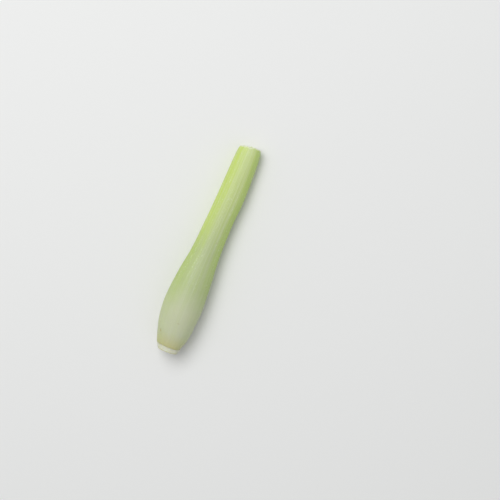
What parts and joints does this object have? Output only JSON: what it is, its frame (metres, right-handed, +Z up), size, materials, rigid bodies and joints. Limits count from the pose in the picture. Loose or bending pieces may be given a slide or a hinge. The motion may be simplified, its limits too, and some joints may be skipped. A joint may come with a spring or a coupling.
{
  "type": "lemongrass stalk",
  "caption": "Cut and trimmed lemongrass stalk lying on its side: leaf sheaths rolled round a heart above a trimmed root plate, with a bulbous foot and a slanting cut top.",
  "frame": {"origin": "on the floor, under the middle of the stalk's bounding box", "axes": "+X along the stalk from the root plate to the cut top, +Z up from the floor that it lies on, +Y to the side that it bows to"},
  "size_m": [0.121, 0.0218, 0.0202],
  "materials": {
    "outer_leaf": "fresh leaf sheath, smooth and faintly waxy, pale grey-green on the bulb and yellow-green above, with fine lengthwise veins",
    "inner_leaf": "fresh cut leaf sheath, pale yellow-green, fibrous at the cut",
    "heart": "fresh cut leaf rolls, cream with a faint pink and a small brown hollow",
    "root_plate": "knife-cut stem tissue, dull pinkish white, fibrous, yellowish at its lower edge"
  },
  "bodies": {
    "root": {"outer_sheath": "outer_leaf", "second_sheath": "inner_leaf", "third_sheath": "inner_leaf", "heart": "heart", "root_plate": "root_plate"}
  },
  "joints": []
}
